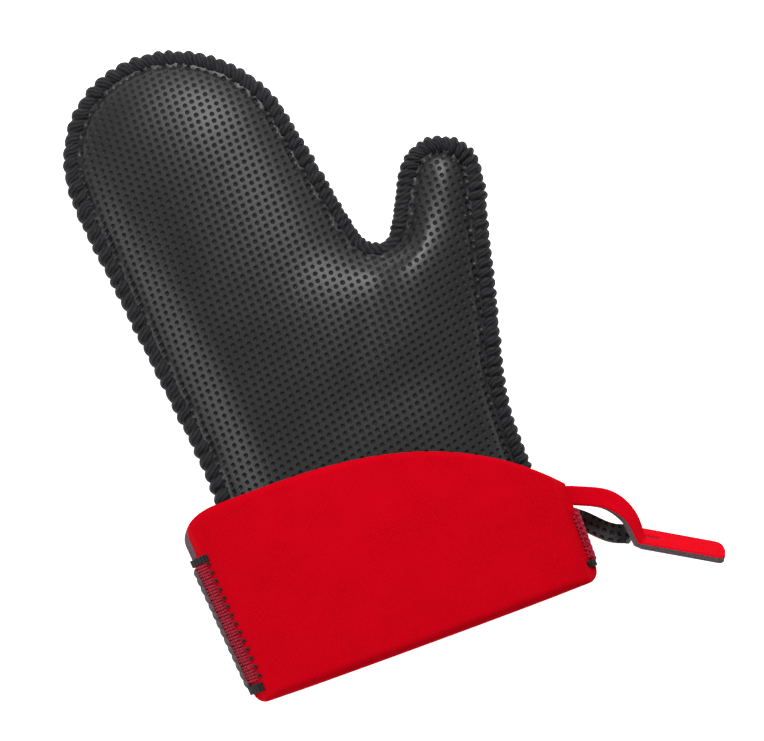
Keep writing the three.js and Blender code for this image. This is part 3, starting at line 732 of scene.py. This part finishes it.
def flapTop(share):
    # free upper edge: an elliptic corner on the left, then level, falling as a cube to the right
    x = cuff["leftTop"] + (cuffRight - cuff["leftTop"]) * share
    reach = cuff["cornerX"] - cuff["leftTop"]
    left = np.clip((cuff["cornerX"] - x) / reach, 0, 1)
    right = np.clip((x - cuff["crownX"]) / (cuffRight - cuff["crownX"]), 0, 1)
    return cuff["crownY"] - cuff["cornerY"] * (1 - np.sqrt(1 - left ** 2)) - cuff["dropRight"] * right ** 3


def cuffX(share, y):
    return cuffLeft(y) + (cuffRight - cuffLeft(y)) * share


def foldGaps(share):
    # width of the slot inside the fold and thickness of the hem, both pinched at the side seams
    pinch = smoothStep(np.abs(2 * share - 1), 0.8, 0.97)
    slot = cuff["slot"] + (cuff["pinchedSlot"] - cuff["slot"]) * pinch
    return slot, laminate + (cuff["hemEdge"] - laminate) * pinch


def leafDepth(side, share, x, y):
    # distance of a leaf's inner face from the seam plane: its own crown, pushed out by the fold, by the
    # body inside it and by the body's edge
    half = (cuffRight - cuff["leftFoot"]) / 2
    across = 2 * share - 1
    spread = mitt["spread"]
    own = 1 - np.cosh(across * half / spread) / math.cosh(half / spread)
    slot, hem = foldGaps(share)
    lift = (0.3 + hem + slot) * (1 - smoothStep(y, cuff["hemHeight"], cuff["hemHeight"] + 12))
    height = mitt["palmCrown"] if side > 0 else mitt["backCrown"]
    inBody = smoothStep(fromEdge(x, np.maximum(y, mitt["foot"] + 6)), -3, 3)
    body = (mitt["halfStack"] + height * crown(x, y) + cuff["clearance"]) * inBody
    if side > 0:
        body = body + smoothStep(fromEdge(x, y), 7, 20) * swells(x, y, palmSwells) * inBody
    fromWrist = np.abs(x - mitt["wristX"]) - mitt["wristHalf"]
    onSeam = 7.6 * (1 - smoothStep(fromWrist, 1.5, 10))
    onLeg = 4.4 * smoothStep(x, 72, 78) * smoothStep(y, 31, 36) if side > 0 else 0 * x
    depth = 0.15 + own * (cuff["crown"] if side > 0 else mitt["backCrown"])
    for other in (lift, body, onSeam, onLeg):
        depth = softMax(depth, other, 1.6)
    depth = 0.15 + (depth - 0.15) * smoothStep(np.minimum(share, 1 - share), -0.004, 0.035)
    ripple = 0.55 * np.sin(x / 21 + 1.3 * side) * np.sin(y / 24 + 0.7) * smoothStep(own, 0.2, 0.9)
    depth = depth + np.maximum(ripple, -0.3)
    return depth if side > 0 else np.minimum(depth, seamHeight - laminate - 0.1)


def cuffLeaf(side, name):
    # one laminate sheet: down the leaf, round the fold at the foot and up the turned-in hem
    bunch = np.linspace(-1, 1, cuff["columns"])
    share = (0.5 + 0.5 * np.sin(bunch * 1.35) / math.sin(1.35))[None, :]
    slot, hem = foldGaps(share)
    radius = (laminate + slot + hem) / 2

    fromSide = np.minimum(share, 1 - share) * (cuffRight - cuff["leftFoot"])
    toCorner = np.clip(1 - fromSide / cuff["footCorner"], 0, 1)
    rise = cuff["footCorner"] * (1 - np.sqrt(1 - 0.98 * toCorner ** 2))

    def at(y, depth, outside=0):
        bevel = cuff["bevel"] * np.exp(-fromSide / 3) * smoothStep(y, 71, 79) * (share < 0.5)
        lifted = y + rise * np.clip(1 - y / 26, 0, 1)
        x = cuffX(share, y) + outside * bevel
        return stacked(x, lifted, seamHeight + side * depth)

    def depthAt(y):
        return leafDepth(side, share, cuffX(share, y), y)

    fall = np.linspace(0, 1, cuff["leafRows"])[:, None]
    y = flapTop(share) + (radius - flapTop(share)) * fall
    depth = depthAt(y)
    curl = 0.5 * (1 - smoothStep(fall, 0, 0.03))
    outer, inner = [at(y, depth + laminate - curl, 1)], [at(y, depth)]
    angle = np.linspace(np.pi / 2, -np.pi / 2, cuff["foldRows"])[1:, None]
    base = depthAt(radius)
    outer.append(at(radius - radius * np.cos(angle), base + laminate - radius + radius * np.sin(angle)))
    inner.append(at(radius - slot / 2 * np.cos(angle), base - slot / 2 + slot / 2 * np.sin(angle)))
    climb = np.linspace(0, 1, cuff["hemRows"])[1:, None]
    y = radius + (cuff["hemHeight"] - radius) * climb
    depth = depthAt(y) - slot
    outer.append(at(y, depth - hem))
    inner.append(at(y, depth))
    outer, inner = np.concatenate(outer), np.concatenate(inner)
    points, *faces = thickSheet(outer, inner)
    faces = outward(points, faces)
    run = runAlong(outer[:, cuff["columns"] // 2])
    cloth = stacked(share * 0.180, run[:, None] / 1000).reshape(-1, 2)
    uv = np.concatenate([cloth, cloth / 0.0038])
    return makePiece(name, points, faces, [knit, reverse, foam], groupOf(faces), uv=uv)


cuffFront = cuffLeaf(1, "cuff_front_knit")
cuffBack = cuffLeaf(-1, "cuff_back_knit")
print("cuff made")


# way is -1 for the left edge and 1 for the right one; from, to and pitch run up the edge
leftSeam = {"way": -1, "from": 11.0, "to": 72.0, "pitch": 4.5}
rightSeam = {"way": 1, "from": 11.0, "to": 36.5, "pitch": 3.0}
seams = {
    "reach": 7.6, "ropeHalf": 1.9, "ropeTall": 4.9, "ropeStep": 0.35, "ropeSides": 20, "seed": 23,
    "dotHalf": 1.1, "dotRadius": 0.68, "tackBars": 11, "tackRadius": 0.5, "shake": 0.14,
}


def edgeX(way, y):
    return np.where(way > 0, cuffRight, cuffLeft(y))


def leafSurface(side, way, inward, y, above):
    # a point on a leaf's outer face, inward from its side edge, above it by the given height
    x = edgeX(way, y) - way * inward
    share = (x - cuffLeft(y)) / (cuffRight - cuffLeft(y))
    depth = leafDepth(side, share, x, y) + laminate + above
    return stacked(x, y, seamHeight + side * depth)


def edgeRope(name, seam, below, material, skew):
    # the wrapped raw edge: a bead with a bump to each stitch, starting below the seam's foot
    way, low = seam["way"], seam["from"] - below
    rows = int((seam["to"] - low) / seams["ropeStep"])
    y = np.linspace(low, seam["to"], rows)
    path = stacked(edgeX(way, y) + way * 0.1, y, float(seamHeight))
    angle = circle(seams["ropeSides"])
    bump = np.abs(np.sin(np.pi * ((y / seam["pitch"])[:, None] + skew * np.sin(angle)[None]))) ** 0.6
    ends = np.sqrt(np.clip(1 - (2 * np.linspace(0, 1, rows) - 1) ** 30, 0.05, 1))[:, None]
    wide = (seams["ropeHalf"] * (0.72 + 0.36 * bump)) * ends
    tall = seams["ropeTall"] * (0.9 + 0.12 * bump) * ends
    across, up = np.tile([float(way), 0, 0], (rows, 1)), np.tile([0.0, 0, 1], (rows, 1))
    return tubePiece(name, path, across, up, wide, tall, angle, 0.8, y, 3.4, material)


def seamRungs(name, seam, short, reach, radius, lean):
    # threads laid over both faces from the edge to the inner line, three to a stitch
    way, pitch = seam["way"], seam["pitch"]
    y = np.arange(seam["from"] + pitch / 6, seam["to"] - short, pitch / 3)
    slant = np.where(np.arange(len(y)) % 2 == 0, lean, -lean) * pitch
    draw = np.random.default_rng(seams["seed"])
    groups = []
    for side in (1, -1):
        shake = draw.normal(0, seams["shake"], (2, len(y)))
        groups.append((leafSurface(side, way, 0.2, y - slant + shake[0], 0.12),
                       leafSurface(side, way, reach, y + slant + shake[1], 0.05), (0, 0, side)))
    return stitchBars(name, groups, radius, maroonThread, arch=0.3)


def seamDots(name, seam, inward):
    # the locking stitch along the inner line: short thick bars along the edge
    y = np.arange(seam["from"] + seam["pitch"] / 2, seam["to"], seam["pitch"])
    groups = [(leafSurface(side, seam["way"], inward + 0.5, y - seams["dotHalf"], 0.1),
               leafSurface(side, seam["way"], inward - 0.5, y + seams["dotHalf"], 0.1), (0, 0, side))
              for side in (1, -1)]
    return stitchBars(name, groups, seams["dotRadius"], thread, sides=7, arch=0.3)


def bartack(name, seam, y, length, reach):
    # close zigzag over the end of a seam: a padded bar on each face, joined round the edge
    count, way = seams["tackBars"], seam["way"]
    draw = np.random.default_rng(int(y * 10))
    at = np.full(count, y) + (np.linspace(-length / 2, length / 2, count) + draw.normal(0, 0.12, count))
    groups = [(leafSurface(side, way, -0.2, at, 0.35),
               leafSurface(side, way, reach + draw.normal(0, 0.35, count), at + 0.4, 0.2), (0, 0, side))
              for side in (1, -1)]
    outer = edgeX(way, at) + way * 0.8
    middle = stacked(outer, at, float(seamHeight))
    for z in (-4.4, 4.4):
        groups.append((middle, stacked(outer - way * 1.0, at, seamHeight + z), (way, 0, 0)))
    return stitchBars(name, groups, seams["tackRadius"], thread, arch=0.45)


leftRope = edgeRope("left_seam_edge", leftSeam, 3, foam, 0.12)
leftRungs = seamRungs("left_seam_rungs", leftSeam, 0, seams["reach"] - 0.6, 0.78, 0.03)
leftDots = seamDots("left_seam_lock_stitch", leftSeam, seams["reach"])
leftTopTack = bartack("left_top_bartack", leftSeam, 74.4, 2.8, 8.4)
leftFootTack = bartack("left_foot_bartack", leftSeam, 7.4, 3.4, 7.0)
rightRope = edgeRope("right_seam_edge", rightSeam, 2, maroonThread, 0.45)
rightRungs = seamRungs("right_seam_rungs", rightSeam, 3, 2.6, 0.5, 0.3)
rightFootTack = bartack("right_foot_bartack", rightSeam, 8.4, 2.4, 3.6)
print("side seams made")


joinRow = {"y": 27.2, "pitch": 4.4, "length": 3.2, "radius": 0.5, "reach": 60}


def joinStitches(side, name):
    x = np.arange(-joinRow["reach"], joinRow["reach"], joinRow["pitch"]) + mitt["wristX"]
    depth = linings["from"] + linings["thickness"] + 0.15
    y = np.full(len(x), joinRow["y"])
    ends = panelPoint(side, x + joinRow["length"], y + 0.2, depth)
    return stitchBars(name, [(panelPoint(side, x, y, depth), ends, (0, 0, -side))], joinRow["radius"], thread,
                      arch=0.2)


frontJoin = joinStitches(1, "front_join_thread")
backJoin = joinStitches(-1, "back_join_thread")


loop = {
    "width": 20.5, "slit": 1.5, "tab": 42, "slitInTab": 12, "fork": (112.7, 11.9), "heading": -30.3,
    "tilt": 66, "frontTurn": 0.28, "backTurn": 0.8,    # where along each leg its turn to the tab begins
    "frontWay": ((80.5, 45.5), (91, 41.5), (104, 34.5), (110.5, 24)),
    "backWay": ((83, 35), (90.5, 29.2), (101.5, 18.6)),
    "backRise": 0.8, "arch": 2.0, "thickness": 3.3, "cornerReach": 5.0, "cornerPower": 2.8,
    "legRows": 120, "tabRows": 90, "columns": 22,
}


def turned(v, axis, angle):
    # v turned about axis by angle
    c, s = np.cos(angle)[:, None], np.sin(angle)[:, None]
    return v * c + np.cross(axis, v) * s + axis * (axis * v).sum(-1, keepdims=True) * (1 - c)


def halfStrip(side, along, faceOut, acrossTab, fork):
    # one half of the strip from its sewn end to the tab's end: middle line, width direction, face
    # direction and half width at each station; the leg turns from lying flat to the tab's tilt
    legWidth = (loop["width"] - loop["slit"]) / 2
    offset = (loop["width"] + loop["slit"]) / 4
    way = loop["frontWay"] if side > 0 else loop["backWay"]
    height = seamHeight + 0.3 + 1.75 if side > 0 else loop["backRise"] + 1.75
    end = fork - acrossTab * side * offset
    stops = []
    for k, (x, y) in enumerate(way):
        share = max(k - 1, 0) / (len(way) - 1)
        z = height + (end[2] - height) * share + loop["arch"] * math.sin(math.pi * share)
        stops.append([x, y, z])
    curve = smoothLine(np.array(stops + [end.tolist()]), loop["legRows"])
    t = tangents(curve)
    share = np.linspace(0, 1, len(curve))
    turn = loop["tilt"] if side > 0 else loop["tilt"] - 180
    degrees = turn * (1 - smoothStep(share, loop["frontTurn" if side > 0 else "backTurn"], 1))
    face = turned(np.tile(faceOut, (len(curve), 1)), t, np.radians(degrees))
    across = unit(np.cross(face, t))
    out = unit(np.cross(t, across))
    run = np.linspace(0, loop["tab"], loop["tabRows"])[1:]
    blend = smoothStep(run, 0.6 * loop["slitInTab"], loop["slitInTab"])
    offsets = offset - (loop["slit"] / 4) * blend
    tabLine = fork + along * run[:, None] - acrossTab * (side * offsets)[:, None]
    middle = np.concatenate([curve, tabLine])
    across = np.concatenate([across, np.tile(acrossTab, (len(run), 1))])
    out = np.concatenate([out, np.tile(faceOut, (len(run), 1))])
    half = np.concatenate([np.full(len(curve), legWidth / 2), legWidth / 2 + loop["slit"] / 4 * blend])
    joined = np.concatenate([np.zeros(len(curve)), blend])
    return middle, across, out, half, run, joined


def hangStrip():
    # two half strips that part at the slit and share their inner edge in the tab
    heading, tilt = math.radians(loop["heading"]), math.radians(loop["tilt"])
    along = np.array([math.cos(heading), math.sin(heading), 0])
    z = np.array([[0.0, 0, 1]])
    faceOut = turned(z, along[None], np.array([-tilt]))[0]
    acrossTab = np.cross(faceOut, along)
    fork = np.array([*loop["fork"], float(seamHeight)])
    allPoints, allFaces, looks, maps = [], [], [], []
    first = 0
    for side in (1, -1):
        middle, across, out, half, run, joined = halfStrip(side, along, faceOut, acrossTab, fork)
        rows = len(middle)
        pull = np.clip((run - (loop["tab"] - loop["cornerReach"])) / loop["cornerReach"], 0, 0.9995)
        narrow = np.concatenate([np.ones(rows - len(run)),
                                 (1 - pull ** loop["cornerPower"]) ** (1 / loop["cornerPower"])])
        u = np.linspace(-1, 1, loop["columns"])
        fromSlit = side * half[:, None] - u[None] * half[:, None]
        spot = side * half[:, None] - fromSlit * narrow[:, None]
        length = runAlong(middle)
        edgeRound = 0.55 * (np.abs(u) ** 10)[None] * (1 - joined[:, None] * (u * side > 0))
        pit = stacked(length[:, None] / 3.8 + 0.25, spot / 3.8)
        toPit = np.hypot(*np.moveaxis(pit - np.round(pit), -1, 0)) * 3.8
        dip = 0.5 * (1 - smoothStep(toPit, 0.35, 1.05)) * (np.abs(u) < 0.86)[None]
        lift = loop["thickness"] / 2
        level = middle[:, None] + across[:, None] * spot[..., None]
        points, skin, reverseSide, rim = thickSheet(level + out[:, None] * (lift - edgeRound)[..., None],
                                                    level - out[:, None] * (lift - dip)[..., None])
        columns = loop["columns"]
        openRows = rows - len(run) + int(loop["slitInTab"] / loop["tab"] * len(run))
        count = rows * columns
        innerColumn = columns - 1 if side > 0 else 0
        onInner = (rim % count % columns == innerColumn).all(1) & (rim % count // columns >= openRows).all(1)
        rim = rim[~onInner]
        faces = outward(points, [skin, reverseSide, rim])
        allPoints.append(points)
        allFaces += [group + first for group in faces]
        looks.append(groupOf(faces))
        cloth = stacked(spot / 1000, length[:, None] / 1000).reshape(-1, 2)
        maps.append(np.concatenate([cloth, pit.reshape(-1, 2)]))
        first += len(points)
    points = np.concatenate(allPoints)
    return makePiece("hang_strip", points, allFaces, [knit, reverse, foam], np.concatenate(looks),
                     uv=np.concatenate(maps), weld=True)


strip = hangStrip()
print("hang strip made")


pieces = [
    (palm, "palm_panel", "dimpled_rubber"), (back, "back_panel", "dimpled_rubber"),
    (palmLining, "palm_lining", "red_lining"), (backLining, "back_lining", "red_lining"),
    (edge, "edge_seam", "charcoal_thread"),
    (cuffFront, "cuff_front", "red_knit_laminate"), (cuffBack, "cuff_back", "red_knit_laminate"),
    (leftRope, "cuff_left_seam", "charcoal_thread"), (leftRungs, None, "charcoal_thread"),
    (leftDots, None, "charcoal_thread"), (leftTopTack, "left_seam_top_tack", "charcoal_thread"),
    (leftFootTack, "left_seam_foot_tack", "charcoal_thread"),
    (rightRope, "cuff_right_seam", "charcoal_thread"), (rightRungs, None, "charcoal_thread"),
    (rightFootTack, "right_seam_foot_tack", "charcoal_thread"),
    (frontJoin, "front_join_stitching", "charcoal_thread"),
    (backJoin, "back_join_stitching", "charcoal_thread"),
]
for piece, node, slotName in pieces:
    if node:
        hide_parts(node)
    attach(piece, "mitt")
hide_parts("hang_loop", "loop_front_end", "loop_back_end")
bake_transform(strip)
print("pieces placed on their bodies")


studio = {
    "azimuth": -20, "elevation": 84, "lens": 85, "distance": 0.892, "aim": (-0.0030, -0.0232, 0.013),
    # headings run anticlockwise from the right of the picture
    "lamps": {
        "window": {"heading": 87, "rise": 47, "away": 1.2, "size": 0.55, "power": 17},
        "side": {"heading": 200, "rise": 36, "away": 1.2, "size": 0.5, "power": 5},
    },
    "world": 0.24,
}


def makeFloor():
    s = Shader("paper_floor", Roughness=0.9, Specular_IOR_Level=0.1, Emission_Strength=1.0,
               Emission_Color=(1, 1, 1, 1))
    tone = s.noise(3, 2)
    s.finish(s.mix(s.spread(tone, 0.3, 0.7), (0.90, 0.90, 0.90), (0.93, 0.93, 0.93)))
    half = 4000.0
    points = np.array([[-half, -half, -0.3], [half, -half, -0.3], [half, half, -0.3], [-half, half, -0.3]])
    floor = makePiece("floor", points, [np.array([[0, 1, 2, 3]])], [s.material])


def addAimed(name, data, place, towards):
    # a lamp or a camera at a place, looking along the given direction
    made = bpy.data.objects.new(name, data)
    made.location = place
    made.rotation_euler = towards.to_track_quat("-Z", "Y").to_euler()
    bpy.context.scene.collection.objects.link(made)
    return made


def makeStudio():
    makeFloor()
    scene = bpy.context.scene
    for name, lamp in studio["lamps"].items():
        turn = math.radians(lamp["heading"] + studio["azimuth"])
        rise = math.radians(lamp["rise"])
        flat = lamp["away"] * math.cos(rise)
        place = Vector((flat * math.cos(turn), flat * math.sin(turn), lamp["away"] * math.sin(rise)))
        data = bpy.data.lights.new(name, "AREA")
        data.shape, data.size, data.energy = "DISK", lamp["size"], lamp["power"]
        addAimed(name, data, place, -place)
    world = bpy.data.worlds.new("studio")
    world.use_nodes = True
    sky = world.node_tree.nodes["Background"]
    sky.inputs["Color"].default_value = (1, 1, 1, 1)
    sky.inputs["Strength"].default_value = studio["world"]
    scene.world = world
    a, e = math.radians(studio["azimuth"]), math.radians(studio["elevation"])
    away = Vector((math.sin(a) * math.cos(e), -math.cos(a) * math.cos(e), math.sin(e)))
    data = bpy.data.cameras.new("camera")
    data.lens, data.clip_start, data.clip_end = studio["lens"], 0.02, 50
    scene.camera = addAimed("camera", data, Vector(studio["aim"]) + away * studio["distance"], -away)
    scene.view_settings.view_transform = "Standard"


makeStudio()
print("studio made")
